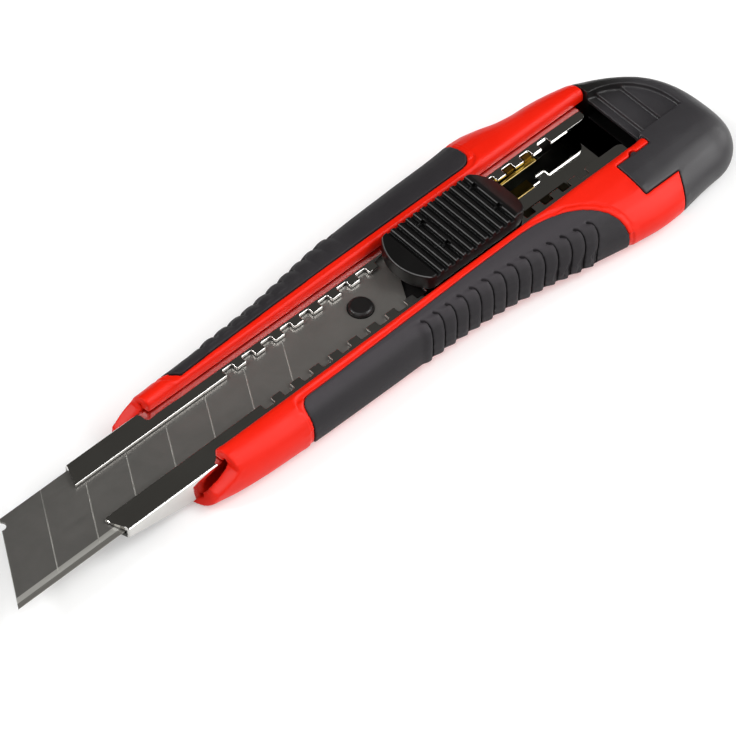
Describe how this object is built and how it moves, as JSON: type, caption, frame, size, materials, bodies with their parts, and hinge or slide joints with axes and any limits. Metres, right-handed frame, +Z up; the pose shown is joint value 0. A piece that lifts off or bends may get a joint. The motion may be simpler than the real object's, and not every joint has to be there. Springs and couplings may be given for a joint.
{
  "type": "snap-off knife",
  "caption": "Snap-off utility knife with a scored sliding blade in a toothed steel channel, soft grips, thumb slider lock and pull-off end cap.",
  "frame": {"origin": "middle of the bounding box, on the plane of the flat back", "axes": "+X from the blade's tip to the tail, +Y from the cutting edge to the blade's back, +Z up out of the slider's face"},
  "size_m": [0.1826, 0.0433, 0.0129],
  "materials": {
    "handle_body": "bright red moulded plastic with a soft gloss",
    "lower_grip": "matte charcoal soft moulding",
    "upper_grip": "matte charcoal soft moulding",
    "blade_channel": "bright plated folded sheet",
    "blade": "dark satin steel with a ground edge",
    "blade_carrier": "black moulded plastic",
    "thumb_slider": "black moulded plastic",
    "lock_spring": "bright stamped leaf",
    "end_cap": "charcoal moulded plastic with a soft sheen"
  },
  "bodies": {
    "handle": {"handle_body": "handle_body", "lower_grip": "lower_grip", "upper_grip": "upper_grip", "blade_channel": "blade_channel"},
    "carriage": {"blade": "blade", "blade_carrier": "blade_carrier"},
    "button": {"thumb_slider": "thumb_slider"},
    "leaf": {"lock_spring": "lock_spring"},
    "cap": {"end_cap": "end_cap"}
  },
  "joints": [
    {"name": "blade_slide", "type": "slide", "parent": "handle", "child": "carriage", "axis": [-1, 0, 0], "range_m": [-0.0265, 0.045], "deforming": ["lock_spring"]},
    {"name": "button_press", "type": "slide", "parent": "carriage", "child": "button", "axis": [0, 0, -1], "range_m": [0, 0.0008], "stiffness_N_per_m": 1500, "springref_m": -0.0004},
    {"name": "leaf_bend", "type": "hinge", "parent": "carriage", "child": "leaf", "pos_m": [0.01984, 0.00218, 0.0068], "axis": [0, 1, 0], "range_deg": [0, 2.6]},
    {"name": "cap_pull", "type": "slide", "parent": "handle", "child": "cap", "axis": [1, 0, 0], "range_m": [0, 0.03]}
  ],
  "couplings": [
    {"joint": "leaf_bend", "follows": "button_press", "rad_per_m": 55.854}
  ]
}
